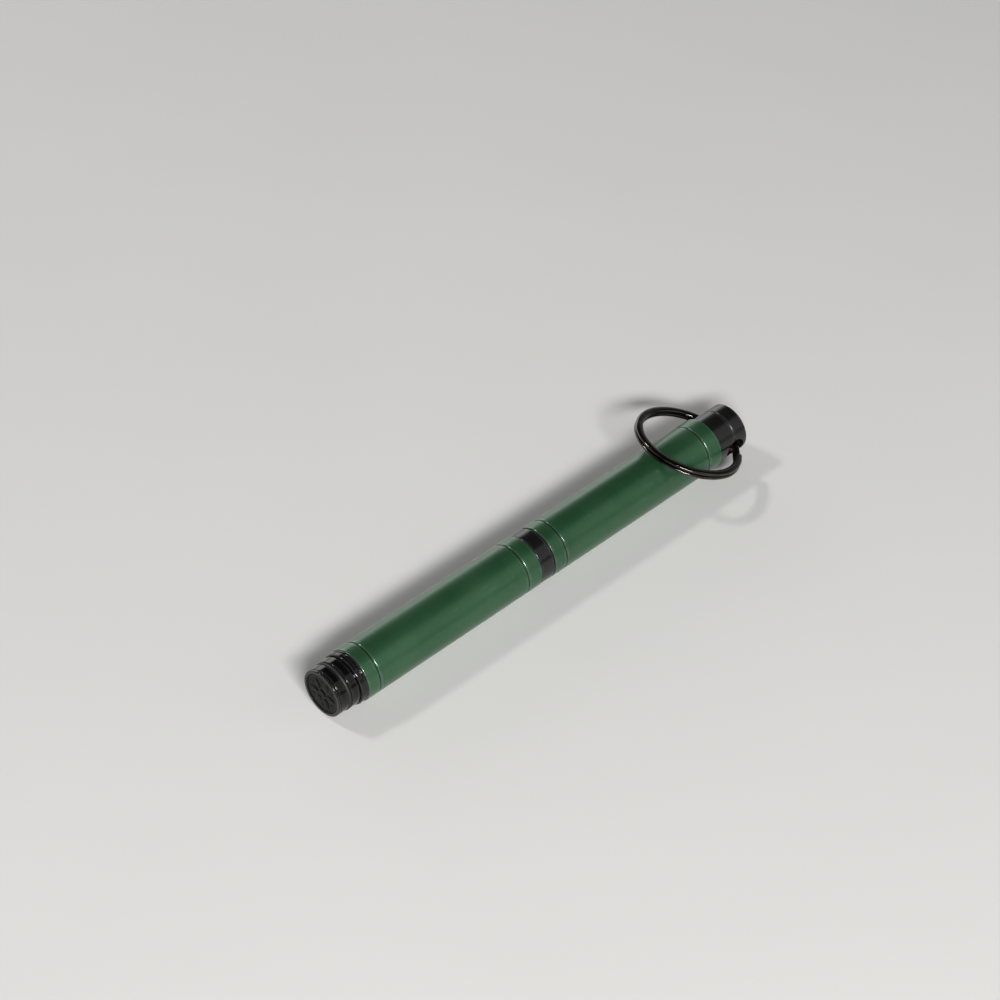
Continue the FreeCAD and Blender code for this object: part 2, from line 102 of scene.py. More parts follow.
# cap end and its cross hole
POCKET_MOUTH_RADIUS = 3.70
POCKET_MOUTH_ROUNDING = 0.05
CAP_SPIGOT_END = 88.0
CAP_END_RADIUS = 4.33
CAP_STEP_ROUNDING = 0.02
CAP_END_ROUNDING = 0.22
END_LINE = 92.08
POCKET_END = 89.85
POCKET_RADIUS = 1.55
POCKET_ROUNDING = 0.10
POCKET_CONE_END = 86.2
RING_JOINT = next(joint for joint in frame["record"]["behaviour"]["joints"] if joint["name"] == "ring_swing")
HOLE_CENTRE = Vector(RING_JOINT["pos_m"]) / MM
HOLE_AXIS = Vector(RING_JOINT["axis"])
HOLE_RADIUS = 2.04
HOLE_SIDES = 96
HOLE_WALL_MARGIN = 0.02
HOLE_WALL_FACING = 0.9

# split ring: two coils and the crank between them, seen in the ring's own frame
RING_ROLL = 8.0
RING_PITCH = 18.9
RING_OFFSET = 8.64
RING_MID_RADIUS = 9.12
WIRE_HALF_WIDTH = 0.68
WIRE_HALF_THICKNESS = 0.35
WIRE_CROWN = 2.5
COIL_LEVEL = 0.37
CRANK_SPAN = 16.0
CRANK_AZIMUTH = -37.0
COIL_STEP = 2.0
WIRE_SIDES = 28
CUT_STATIONS = ((0.0, 0.72), (0.2, 0.92))
CUT_SPAN = 0.7

# tail plug
TAIL_RECESS_DEPTH = 0.42
TAIL_RECESS_RADIUS = 3.66
TAIL_RIM_ROUNDING = 0.05
TAIL_FRONT_RADIUS = 4.22
TAIL_FRONT_ROUNDING = 0.24
TAIL_LINE = 0.50
SEAL_GROOVE = (2.05, 2.75)
SEAL_FLOOR_RADIUS = 3.74
SEAL_LIP_ROUNDINGS = (0.07, 0.14)
TAIL_REAR_RADIUS = 4.35
TAIL_REAR_ROUNDING = 0.16
UNDERCUT_START = 4.32
UNDERCUT_RADIUS = 4.13
UNDERCUT_ROUNDING = 0.03
FLANGE = (4.56, 6.00)
FLANGE_RADIUS = 4.63
FLANGE_ROUNDINGS = (0.30, 0.08)
FLANGE_LINE = 5.55
TAIL_SPIGOT_END = 13.0
REFILL_BORE_RADIUS = 3.05
REFILL_SEAT = 2.00

# rosette on the tail's disc
DISC_RADIUS = 3.60
DISC_FACE = 0.16
DISC_BACK = 0.42
DISC_RINGS = 72
DISC_SIDES = 288
DISC_SHARP_ANGLE = 60.0
BOSS_RADIUS = 0.62
BOSS_FOOT = 0.84
PETALS = 6
PETAL_START = 0.98
PETAL_END = 2.95
PETAL_HALF_WIDTH = 0.56
PETAL_HEIGHT = 0.125
PETAL_LENGTH_POWER = 0.8
PETAL_WIDTH_POWER = 0.9
PETAL_DOME_POWER = 0.45
CREASE_DEPTH = 0.45
CREASE_HALF_WIDTH = 0.07
BEAD_PLACE = 2.45
BEAD_RADIUS = 0.20
BEAD_HEIGHT = 0.09
DISC_RIM_START = 3.30
DISC_RIM_HEIGHT = 0.08
DISC_RIM_SLOPE = 0.10
DISC_EDGE_SLOPE = 0.06
DISC_EDGE_FALL = 0.7

# studio: the floor and its cove in metres and degrees
FLOOR_HEIGHT = CAD_BOX[0].z
FLOOR_HUB_RADIUS = 0.001
FLOOR_RADIUS = 1.2
COVE_RADIUS = 0.5
COVE_TURN = 80.0
COVE_STEPS = 24
FLOOR_SIDES = 96

# softboxes: the way to each from the pen, its width and height in metres, and its radiance
LIGHT_DISTANCE = 1.0
LIGHTS = {
    "key": ((-0.45, -0.70, 0.55), 0.42, 0.11, 88.0),
    "rim": ((-0.30, 0.62, 0.73), 0.16, 0.10, 50.0),
    "back_panel": ((0.25, 0.90, 0.20), 1.4, 0.42, 1.6),
    "front_panel": ((0.52, -0.72, 0.56), 0.95, 0.72, 0.5),
}

# sky: the place on its ramp and the colour, near the horizon and above
SKY_RAMP = ((0.10, (0.30, 0.30, 0.295, 1)), (0.45, (0.035, 0.035, 0.035, 1)))

# finishes
NOISE_SPAN = (0.3, 0.7)
WORN_BLACK = (0.06, 0.06, 0.058)
# colours of the painted shade in grooves and inner corners, for the black and the green pieces
HOLLOW_SHADE_BLACK = (0.0006, 0.0006, 0.0006)
HOLLOW_SHADE_GREEN = (0.002, 0.006, 0.003)


# ---------------------------------------------------------------- materials


class Finish:
    """One procedural material. Its patterns are laid out in millimetres on the piece itself."""

    def __init__(self, name, colour, roughness, metallic=0.0):
        self.material = bpy.data.materials.new(name)
        self.material.use_nodes = True
        self.tree = self.material.node_tree
        self.tree.nodes.clear()
        self.shader = self.add("ShaderNodeBsdfPrincipled")
        output = self.add("ShaderNodeOutputMaterial")
        self.join(self.shader.outputs["BSDF"], output.inputs["Surface"])
        self.shader.inputs["Base Color"].default_value = (*colour, 1)
        self.shader.inputs["Roughness"].default_value = roughness
        self.shader.inputs["Metallic"].default_value = metallic
        self.place = self.add("ShaderNodeTexCoord").outputs["Object"]
        self.normal = None

    def add(self, kind, **settings):
        node = self.tree.nodes.new(kind)
        for key, value in settings.items():
            setattr(node, key, value)
        return node

    def join(self, source, target):
        self.tree.links.new(source, target)

    def noise(self, per_mm, detail=3.0, roughness=0.55, offset=(0, 0, 0)):
        """Noise from 0 to 1. per_mm is its number of features per millimetre along X, Y and Z."""
        mapping = self.add("ShaderNodeMapping")
        mapping.inputs["Location"].default_value = offset
        mapping.inputs["Scale"].default_value = [n / MM for n in per_mm]
        self.join(self.place, mapping.inputs["Vector"])
        noise = self.add("ShaderNodeTexNoise")
        noise.inputs["Scale"].default_value = 1.0
        noise.inputs["Detail"].default_value = detail
        noise.inputs["Roughness"].default_value = roughness
        self.join(mapping.outputs["Vector"], noise.inputs["Vector"])
        return noise.outputs["Fac"]

    def edges(self, per_mm=1.6):
        """How worn the piece's outer edges are, from 0 to 1, in broken stretches: above 0 in edge_wear_and_hollow_shade."""
        attribute = self.add("ShaderNodeAttribute", attribute_name="edge_wear_and_hollow_shade")
        worn = self.ranged(attribute.outputs["Fac"], 0.0, 1.0)
        patches = self.noise((per_mm, per_mm, per_mm), detail=3.0, offset=(2, 9, 4))
        broken = self.ranged(patches, 0.30, 0.62, 0.45, 1.0)
        return self.maths("MULTIPLY", worn, broken)

    def painted_hollow_shade(self):
        """Mask for painted shade: 1 in grooves and inner corners, where the mesh's corner mark is below 0,
        and 0 outside.
        """
        attribute = self.add("ShaderNodeAttribute", attribute_name="edge_wear_and_hollow_shade")
        return self.ranged(attribute.outputs["Fac"], -1.0, 0.0, 1.0, 0.0)

    def ranged(self, factor, start, end, low=0.0, high=1.0):
        """factor taken from start..end to low..high, and held there outside."""
        node = self.add("ShaderNodeMapRange")
        for name, value in (("From Min", start), ("From Max", end), ("To Min", low), ("To Max", high)):
            node.inputs[name].default_value = value
        self.join(factor, node.inputs["Value"])
        return node.outputs["Result"]

    def maths(self, operation, first, second):
        """The result of a sum on two values, each a number or a socket."""
        node = self.add("ShaderNodeMath", operation=operation)
        for socket, value in zip(node.inputs, (first, second)):
            if isinstance(value, float):
                socket.default_value = value
            else:
                self.join(value, socket)
        return node.outputs["Value"]

    def mixed(self, factor, first, second):
        """A colour between first and second."""
        node = self.add("ShaderNodeMix", data_type="RGBA")
        self.join(factor, node.inputs["Factor"])
        for socket, value in ((node.inputs[6], first), (node.inputs[7], second)):
            if isinstance(value, tuple):
                socket.default_value = (*value, 1)
            else:
                self.join(value, socket)
        return node.outputs[2]

    def tinted(self, where, amount, colour, tint):
        """The colour, taken that amount of the way to the tint where the mask is 1."""
        return self.mixed(self.maths("MULTIPLY", where, amount), colour, tint)

    def bump(self, height, depth_mm):
        """Adds a height from 0 to 1 as relief of that depth, over the relief already there."""
        node = self.add("ShaderNodeBump")
        node.inputs["Strength"].default_value = 1.0
        node.inputs["Distance"].default_value = depth_mm * MM
        self.join(height, node.inputs["Height"])
        if self.normal is not None:
            self.join(self.normal, node.inputs["Normal"])
        self.normal = node.outputs["Normal"]
        self.join(self.normal, self.shader.inputs["Normal"])

    def paint(self, colour=None, roughness=None):
        """Puts a colour and a roughness on the shader."""
        if colour is not None:
            self.join(colour, self.shader.inputs["Base Color"])
        if roughness is not None:
            self.join(roughness, self.shader.inputs["Roughness"])


def turned_lines(finish, per_mm=9.0, depth_mm=0.0006):
    """Fine lines round the axis, as a lathe tool leaves them."""
    lines = finish.noise((per_mm, 0.12, 0.12), detail=4.0, roughness=0.7)
    finish.bump(lines, depth_mm)
    return lines


def scratches(finish, depth_mm=0.0012, offset=(3, 1, 7)):
    """Sparse handling scratches, mostly along the axis. The result is 1 inside a scratch."""
    fine = finish.noise((0.22, 7.0, 7.0), detail=2.0, offset=offset)
    where = finish.noise((0.35, 0.35, 0.35), detail=1.0, offset=offset)
    inside = finish.maths("MULTIPLY", finish.ranged(fine, 0.66, 0.70), finish.ranged(where, 0.5, 0.62))
    finish.bump(inside, -depth_mm)
    return inside


def anodised_green():
    finish = Finish("green_anodised", (0.022, 0.092, 0.035), 0.42, metallic=0.6)
    lines = turned_lines(finish)
    cloud = finish.noise((0.10, 0.10, 0.10), detail=3.0)
    grain = finish.noise((6.0, 6.0, 6.0), detail=2.0)
    marks = scratches(finish)
    worn = finish.edges()
    deep, light = (0.016, 0.076, 0.028), (0.027, 0.100, 0.041)
    colour = finish.mixed(finish.ranged(cloud, *NOISE_SPAN), deep, light)
    colour = finish.mixed(finish.ranged(lines, 0.35, 0.75, 0.0, 0.35), colour, (0.045, 0.135, 0.065))
    colour = finish.tinted(marks, 0.4, colour, (0.14, 0.22, 0.17))
    colour = finish.tinted(worn, 0.16, colour, (0.25, 0.36, 0.29))
    # painted shade: grooves and inner corners darkened nearly to black
    colour = finish.tinted(finish.painted_hollow_shade(), 0.85, colour, HOLLOW_SHADE_GREEN)
    rough = finish.ranged(cloud, *NOISE_SPAN, 0.38, 0.45)
    rough = finish.maths("ADD", rough, finish.ranged(grain, *NOISE_SPAN, -0.03, 0.03))
    rough = finish.maths("SUBTRACT", rough, finish.maths("MULTIPLY", worn, 0.24))
    finish.bump(grain, 0.0008)
    finish.paint(colour, rough)
    finish.shader.inputs["Coat Weight"].default_value = 0.5
    finish.shader.inputs["Coat Roughness"].default_value = 0.28
    return finish.material


def black_gloss():
    finish = Finish("gloss_black", (0.002, 0.002, 0.002), 0.10)
    cloud = finish.noise((0.3, 0.3, 0.3))
    marks = scratches(finish, 0.001)
    lines = turned_lines(finish, per_mm=5.0, depth_mm=0.0004)
    worn = finish.edges()
    deep, light = (0.0016, 0.0016, 0.0016), (0.004, 0.004, 0.004)
    colour = finish.mixed(finish.ranged(lines, 0.4, 0.8, 0.0, 0.5), deep, light)
    colour = finish.tinted(worn, 0.25, colour, (0.05, 0.05, 0.048))
    smooth = finish.ranged(cloud, *NOISE_SPAN, 0.07, 0.12)
    rough = finish.maths("ADD", smooth, finish.maths("MULTIPLY", marks, 0.3))
    finish.paint(colour, rough)
    finish.shader.inputs["Specular IOR Level"].default_value = 0.36
    return finish.material


def black_satin(name, colour, roughness, specular=0.5):
    finish = Finish(name, colour, roughness)
    finish.shader.inputs["Specular IOR Level"].default_value = specular
    cloud = finish.noise((0.25, 0.25, 0.25))
    grain = finish.noise((8.0, 8.0, 8.0), detail=2.0)
    lines = turned_lines(finish, per_mm=7.0, depth_mm=0.0006)
    worn = finish.edges()
    lighter = tuple(2.0 * c for c in colour)
    finish.bump(grain, 0.0007)
    shade = finish.mixed(finish.ranged(lines, 0.35, 0.8, 0.0, 0.6), colour, lighter)
    shade = finish.tinted(worn, 0.25, shade, WORN_BLACK)
    # painted shade: grooves and inner corners darkened nearly to black
    shade = finish.tinted(finish.painted_hollow_shade(), 0.8, shade, HOLLOW_SHADE_BLACK)
    rough = finish.ranged(cloud, *NOISE_SPAN, roughness - 0.04, roughness + 0.04)
    finish.paint(shade, rough)
    return finish.material


def rubber():
    finish = Finish("seal_rubber", (0.008, 0.008, 0.008), 0.55)
    grain = finish.noise((5.0, 5.0, 5.0), detail=4.0)
    finish.bump(grain, 0.004)
    finish.paint(
        finish.mixed(grain, (0.004, 0.004, 0.004), (0.014, 0.014, 0.013)),
        finish.ranged(grain, *NOISE_SPAN, 0.45, 0.65),
    )
    return finish.material


def metal(name, colour, roughness, per_mm=6.0):
    finish = Finish(name, colour, roughness, metallic=1.0)
    lines = turned_lines(finish, per_mm, 0.0008)
    cloud = finish.noise((0.5, 0.5, 0.5))
    darker = tuple(0.72 * c for c in colour)
    finish.paint(
        finish.mixed(finish.ranged(cloud, *NOISE_SPAN), darker, colour),
        finish.ranged(lines, *NOISE_SPAN, roughness - 0.05, roughness + 0.07),
    )
    return finish.material


def plastic(name, colour, roughness, clearness=0.0):
    finish = Finish(name, colour, roughness)
    cloud = finish.noise((0.6, 0.6, 0.6))
    flow = finish.noise((0.4, 2.5, 2.5), detail=2.0)
    finish.bump(flow, 0.004)
    darker = tuple(0.8 * c for c in colour)
    finish.paint(
        finish.mixed(finish.ranged(cloud, *NOISE_SPAN), darker, colour),
        finish.ranged(flow, *NOISE_SPAN, roughness - 0.05, roughness + 0.05),
    )
    finish.shader.inputs["Transmission Weight"].default_value = clearness
    return finish.material


def ring_steel():
    finish = Finish("ring_steel", (0.05, 0.045, 0.04), 0.12, metallic=1.0)
    cloud = finish.noise((0.5, 0.5, 0.5), detail=4.0)
    spots = finish.noise((2.4, 2.4, 2.4), detail=2.0, offset=(5, 2, 1))
    worn = finish.ranged(spots, 0.62, 0.70)
    deep, light = (0.060, 0.055, 0.049), (0.105, 0.096, 0.085)
    colour = finish.mixed(finish.ranged(cloud, *NOISE_SPAN), deep, light)
    finish.bump(cloud, 0.003)
    finish.paint(
        finish.tinted(worn, 0.4, colour, (0.20, 0.185, 0.165)),
        finish.ranged(cloud, *NOISE_SPAN, 0.09, 0.16),
    )
    return finish.material


def floor_paper():
    finish = Finish("floor_paper", (0.56, 0.55, 0.53), 0.7)
    mottle = finish.noise((0.02, 0.02, 0.02), detail=4.0)
    finish.paint(finish.mixed(mottle, (0.62, 0.615, 0.60), (0.65, 0.645, 0.63)))
    return finish.material


def finish_pieces():
    """Gives every CAD node its material."""
    section = black_satin("section_black", (0.006, 0.006, 0.006), 0.32)
    seal = rubber()
    green = anodised_green()
    gloss = black_gloss()
    chosen = {
        "tail_plug": gloss,
        "tail_medallion": black_satin("relief_black", (0.0015, 0.0015, 0.0015), 0.14, specular=0.09),
        "tail_seal": seal,
        "section_seal": seal,
        "barrel_sleeve": green,
        "cap_sleeve": green,
        "barrel_bushing": metal("bushing_brass", (0.72, 0.50, 0.22), 0.28),
        "centre_band": black_satin("band_black", (0.004, 0.004, 0.004), 0.20),
        "grip_section": section,
        "nose_cone": section,
        "cap_end": black_satin("cap_black", (0.004, 0.004, 0.0038), 0.24),
        "split_ring": ring_steel(),
        "refill_tube": metal("refill_steel", (0.60, 0.60, 0.58), 0.24),
        "refill_end_plug": plastic("plug_plastic", (0.02, 0.03, 0.12), 0.35),
        "refill_float": plastic("float_plastic", (0.75, 0.75, 0.70), 0.30),
        "ink_column": plastic("ink", (0.006, 0.008, 0.05), 0.12),
        "tip_holder": metal("tip_brass", (0.74, 0.53, 0.25), 0.22),
        "nib_socket": metal("socket_steel", (0.62, 0.61, 0.58), 0.16),
        "writing_ball": metal("ball_carbide", (0.34, 0.34, 0.35), 0.10),
    }
    for name, material in chosen.items():
        slots = frame["nodes"][name].data.materials
        for index in range(len(slots)):
            slots[index] = material
    return chosen


# ---------------------------------------------------------------- pieces


def held(value):
    """The value, held between 0 and 1."""
    return min(max(value, 0.0), 1.0)


def circle(sides):
    """Cosine and sine of that many even steps round a full turn."""
    angles = [2 * math.pi * side / sides for side in range(sides)]
    return [(math.cos(angle), math.sin(angle)) for angle in angles]


def finished_mesh(name, bm):
    """The mesh of a bmesh, which is freed."""
    mesh = bpy.data.meshes.new(name)
    bm.to_mesh(mesh)
    bm.free()
    return mesh


def linked(name, data):
    """A new object with that data, in the scene."""
    made = bpy.data.objects.new(name, data)
    bpy.context.scene.collection.objects.link(made)
    return made


class Profile:
    """The rounded form of a closed outline of (place, radius, rounding) corners, in millimetres.

    Each of its points is a place, a normal and a mark for wear and shade: 1 on a rounded outer corner, for
    worn edges, -1 on an inner one, for painted shade, and 0 on the flat. A rounding takes no more than
    ARC_LIMIT of the shorter run beside its corner.
    """

    def __init__(self, corners):
        self.points = []
        places = [Vector((place, radius)) for place, radius, _ in corners]
        count = len(places)
        runs = [places[(i + 1) % count] - places[i] for i in range(count)]
        area = sum(a.x * b.y - b.x * a.y for a, b in zip(places, places[1:] + places[:1]))
        side = 1 if area > 0 else -1
        normals = [Vector((run.y, -run.x)).normalized() * side for run in runs]
        for i, (_, _, rounding) in enumerate(corners):
            before, after = i - 1, i
            turn = runs[before].normalized().cross(runs[after].normalized()) * side
            angle = runs[before].angle(runs[after])
            reach = rounding * math.tan(angle / 2)
            limit = ARC_LIMIT * min(runs[before].length, runs[after].length)
            if reach > limit:
                rounding *= limit / reach
                reach = limit
            self.add_support(places[i], -runs[before], reach, normals[before])
            first, last = normals[before], normals[after]
            self.add_arc(places[i], runs[before], reach, rounding, first, last, turn > 0)
            self.add_support(places[i], runs[after], reach, normals[after])

    def add_support(self, corner, run, reach, normal):
        """A point on a straight run near its corner, to keep the run flat and the wear and painted shade at
        the edge.
        """
        step = reach + SUPPORT
        off_axis = corner.y + run.y + corner.y > 0
        if off_axis and run.length > SUPPORT_LIMIT * step:
            self.points.append((corner + run.normalized() * step, normal, 0.0))

    def add_arc(self, corner, run, reach, rounding, first, last, convex):
        """The points of one rounded corner, or a single one where the corner lies on the axis."""
        if corner.y == 0:
            self.points.append((corner, first if abs(first.x) > abs(last.x) else last, 0.0))
            return
        bulge = rounding if convex else -rounding
        centre = corner - run.normalized() * reach - first * bulge
        for step in range(ARC_STEPS + 1):
            normal = first.slerp(last, step / ARC_STEPS)
            # 1 marks a worn outer edge, -1 an inner corner that gets painted shade
            self.points.append((centre + normal * bulge, normal, 1.0 if convex else -1.0))


def turned_piece(name, node, body, corners, material):
    """A piece turned about the pen's axis, which stands for one CAD node."""
    bm = bmesh.new()
    # per vertex: 1 on worn outer edges, -1 in grooves and inner corners for painted shade
    wear = bm.verts.layers.float.new("edge_wear_and_hollow_shade")
    rings, normals = [], []
    for point, normal, worn in Profile(corners).points:
        ring = []
        for cosine, sine in circle(SIDES)[:SIDES if point.y > 0 else 1]:
            vertex = bm.verts.new((point.x * MM, point.y * cosine * MM, point.y * sine * MM))
            vertex[wear] = worn
            ring.append(vertex)
            normals.append((normal.x, normal.y * cosine, normal.y * sine))
        rings.append(ring)
    for here, there in zip(rings, rings[1:] + rings[:1]):
        for side in range(SIDES):
            after = (side + 1) % SIDES
            corner_loop = [here[side % len(here)], there[side % len(there)]]
            corner_loop += [there[after % len(there)], here[after % len(here)]]
            loop = list(dict.fromkeys(corner_loop))
            if len(loop) > 2:
                bm.faces.new(loop)
    bmesh.ops.recalc_face_normals(bm, faces=bm.faces)
    for face in bm.faces:
        face.smooth = True
    mesh = finished_mesh(name, bm)
    mesh.normals_split_custom_set_from_vertices(normals)
    return stand_in(name, mesh, node, body, material)


def stand_in(name, mesh, node, body, material):
    """Puts a finished mesh in place of one CAD node."""
    mesh.materials.append(material)
    piece = linked(name, mesh)
    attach(piece, body)
    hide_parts(node)
    return piece


def turned_groove(centre, radius, groove):
    """Corners of a groove with sloping sides and rounded lips."""
    return [
        (centre - groove.half_width, radius, groove.lip_rounding),
        (centre - groove.floor_half_width, radius - groove.depth, INNER_ROUNDING),
        (centre + groove.floor_half_width, radius - groove.depth, INNER_ROUNDING),
        (centre + groove.half_width, radius, groove.lip_rounding),
    ]


def ends(node):
    """The places along the axis where a node starts and stops, in millimetres."""
    low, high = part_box(node)
    return low.x / MM, high.x / MM


def sleeve(name, node, body, bore_radius, grooves, material):
    """A green tube with a turned groove at each of those places."""
    start, stop = ends(node)
    corners = [(start, bore_radius, INNER_ROUNDING), (start, TUBE_RADIUS, TUBE_ROUNDING)]
    for place in grooves:
        corners += turned_groove(place, TUBE_RADIUS, TUBE_GROOVE)
    corners += [(stop, TUBE_RADIUS, TUBE_ROUNDING), (stop, bore_radius, INNER_ROUNDING)]
    turned_piece(name, node, body, corners, material)


def centre_band(material):
    """The black band between the barrel and the cap."""
    start, stop = ends("centre_band")
    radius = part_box("centre_band")[1].z / MM
    corners = [
        (start, BAND_BORE_RADIUS, INNER_ROUNDING),
        (start, radius, BAND_ROUNDING),
        (stop, radius, BAND_ROUNDING),
        (stop, BAND_BORE_RADIUS, INNER_ROUNDING),
    ]
    turned_piece("band_ring", "centre_band", "section", corners, material)


def cap_end(material):
    """The cap's black end, with its fine turned line, tip pocket and cross hole."""
    start, stop = ends("cap_end")
    corners = [
        (start, POCKET_MOUTH_RADIUS, POCKET_MOUTH_ROUNDING),
        (start, CAP_BORE_RADIUS, SPIGOT_ROUNDING),
        (CAP_SPIGOT_END, CAP_BORE_RADIUS, CAP_STEP_ROUNDING),
        (CAP_SPIGOT_END, CAP_END_RADIUS, CAP_STEP_ROUNDING),
        *turned_groove(END_LINE, CAP_END_RADIUS, END_LINE_GROOVE),
        (stop, CAP_END_RADIUS, CAP_END_ROUNDING),
        (stop, 0, 0),
        (POCKET_END, 0, 0),
        (POCKET_END, POCKET_RADIUS, POCKET_ROUNDING),
        (POCKET_CONE_END, POCKET_RADIUS, POCKET_ROUNDING),
    ]
    piece = turned_piece("cap_tip", "cap_end", "cap", corners, material)
    bore(piece, Profile(corners).points)


def hole_cutter():
    """A closed cylinder along the cross hole, longer than the cap's end is wide."""
    bm = bmesh.new()
    rims = []
    side_on = Vector((0, -HOLE_AXIS.z, HOLE_AXIS.y))
    for reach in (-2 * CAP_END_RADIUS, 2 * CAP_END_RADIUS):
        rims.append([])
        for cosine, sine in circle(HOLE_SIDES):
            out = (Vector((cosine, 0, 0)) + side_on * sine) * HOLE_RADIUS
            rims[-1].append(bm.verts.new((HOLE_CENTRE + out + HOLE_AXIS * reach) * MM))
    for side in range(HOLE_SIDES):
        after = (side + 1) % HOLE_SIDES
        bm.faces.new((rims[0][side], rims[1][side], rims[1][after], rims[0][after]))
    bm.faces.new(rims[0])
    bm.faces.new(rims[1])
    bmesh.ops.recalc_face_normals(bm, faces=bm.faces)
    return linked("hole_cutter", finished_mesh("hole_cutter", bm))


def bore(piece, profile):
    """Cuts the cross hole through a turned piece, and shades what is left as the true round surfaces."""
    cutter = hole_cutter()
    cut = piece.modifiers.new("cross_hole", "BOOLEAN")
    cut.operation = "DIFFERENCE"
    cut.solver = "EXACT"
    cut.object = cutter
    graph = bpy.context.evaluated_depsgraph_get()
    mesh = bpy.data.meshes.new_from_object(piece.evaluated_get(graph))
    piece.modifiers.clear()
    piece.data = mesh
    bpy.data.objects.remove(cutter)
    normals = [None] * len(mesh.loops)
    for face in mesh.polygons:
        middle = face.center / MM
        out = from_hole(middle)
        faces_hole = face.normal.dot(out) < -HOLE_WALL_FACING * out.length
        on_wall = faces_hole and out.length < HOLE_RADIUS + HOLE_WALL_MARGIN
        run = None if on_wall else nearest_run(profile, middle)
        for loop in face.loop_indices:
            place = mesh.vertices[mesh.loops[loop].vertex_index].co / MM
            normals[loop] = -from_hole(place).normalized() if on_wall else turned_normal(run, place)
    for face in mesh.polygons:
        face.use_smooth = True
    mesh.normals_split_custom_set(normals)


def from_hole(place):
    """The way from the cross hole's axis to a place, square to that axis."""
    away = place - HOLE_CENTRE
    return away - HOLE_AXIS * away.dot(HOLE_AXIS)


def share_along(run, step):
    """How far along a run a step from its start reaches, from 0 to 1."""
    return held(step.dot(run) / max(run.length_squared, TINY))


def nearest_run(profile, place):
    """The two neighbouring points of a profile whose run passes closest to a place."""
    flat = Vector((place.x, math.hypot(place.y, place.z)))

    def distance(pair):
        first, second = pair[0][0], pair[1][0]
        run, step = second - first, flat - first
        return (step - run * share_along(run, step)).length

    return min(zip(profile, profile[1:] + profile[:1]), key=distance)


def turned_normal(run, place):
    """The normal at a place on the turned surface that a run of the profile sweeps."""
    (first, first_normal, _), (second, second_normal, _) = run
    radius = math.hypot(place.y, place.z)
    share = share_along(second - first, Vector((place.x, radius)) - first)
    normal = first_normal.lerp(second_normal, share).normalized()
    if radius < AXIS_MARGIN:
        return Vector((normal.x, 0, 0))
    return Vector((normal.x, normal.y * place.y / radius, normal.y * place.z / radius))


def crowned(wave):
    """A cosine or sine, bulged from a round section's to the crowned one's."""
    return math.copysign(abs(wave) ** (2 / WIRE_CROWN), wave)


def wire_outline(share):
    """The wire's crowned section at that share of its size: places across and up from its middle."""
    return [
        (crowned(cosine) * WIRE_HALF_WIDTH * share, crowned(sine) * WIRE_HALF_THICKNESS * share)
        for cosine, sine in circle(WIRE_SIDES)
    ]


def ring_stations():
    """Azimuth in degrees and share of the section's size, along the wire from one cut end to the other."""
    first, last = CRANK_SPAN / 2 - 180, 540 - CRANK_SPAN / 2
    steps = round((last - first) / COIL_STEP)
    full = last - first - 2 * CUT_SPAN
    start = [(first + turn, share) for turn, share in CUT_STATIONS]
    inner = [(first + CUT_SPAN + full * step / steps, 1.0) for step in range(steps + 1)]
    stop = [(last - turn, share) for turn, share in reversed(CUT_STATIONS)]
    return start + inner + stop


def coil_level(azimuth):
    """Height of the wire's middle, which steps from the lower coil to the upper one over the crank."""
    share = held((azimuth - 180) / CRANK_SPAN + 0.5)
    return -COIL_LEVEL * math.cos(math.pi * share)


def split_ring(material):
    """The key ring's spring wire, wound twice round with one crank."""
    lean = Matrix.Rotation(math.radians(RING_ROLL), 3, "X")
    lean = lean @ Matrix.Rotation(math.radians(RING_PITCH), 3, "Y")
    turned = lean @ Matrix.Rotation(math.radians(CRANK_AZIMUTH - 180), 3, "Z")
    centre = HOLE_CENTRE - lean @ Vector((RING_OFFSET, 0, 0))
    bm = bmesh.new()
    rings = []
    for azimuth, share in ring_stations():
        out = Vector((math.cos(math.radians(azimuth)), math.sin(math.radians(azimuth)), 0))
        rings.append([])
        for across, up in wire_outline(share):
            place = out * (RING_MID_RADIUS + across) + Vector((0, 0, coil_level(azimuth) + up))
            rings[-1].append(bm.verts.new((centre + turned @ place) * MM))
    for here, there in zip(rings, rings[1:]):
        for side in range(WIRE_SIDES):
            after = (side + 1) % WIRE_SIDES
            bm.faces.new((here[side], here[after], there[after], there[side]))
    bm.faces.new(rings[0])
    bm.faces.new(rings[-1])
    bmesh.ops.recalc_face_normals(bm, faces=bm.faces)
    for face in bm.faces:
        face.smooth = len(face.verts) == 4
    mesh = finished_mesh("ring_wire", bm)
    stand_in("ring_wire", mesh, "split_ring", "ring", material)


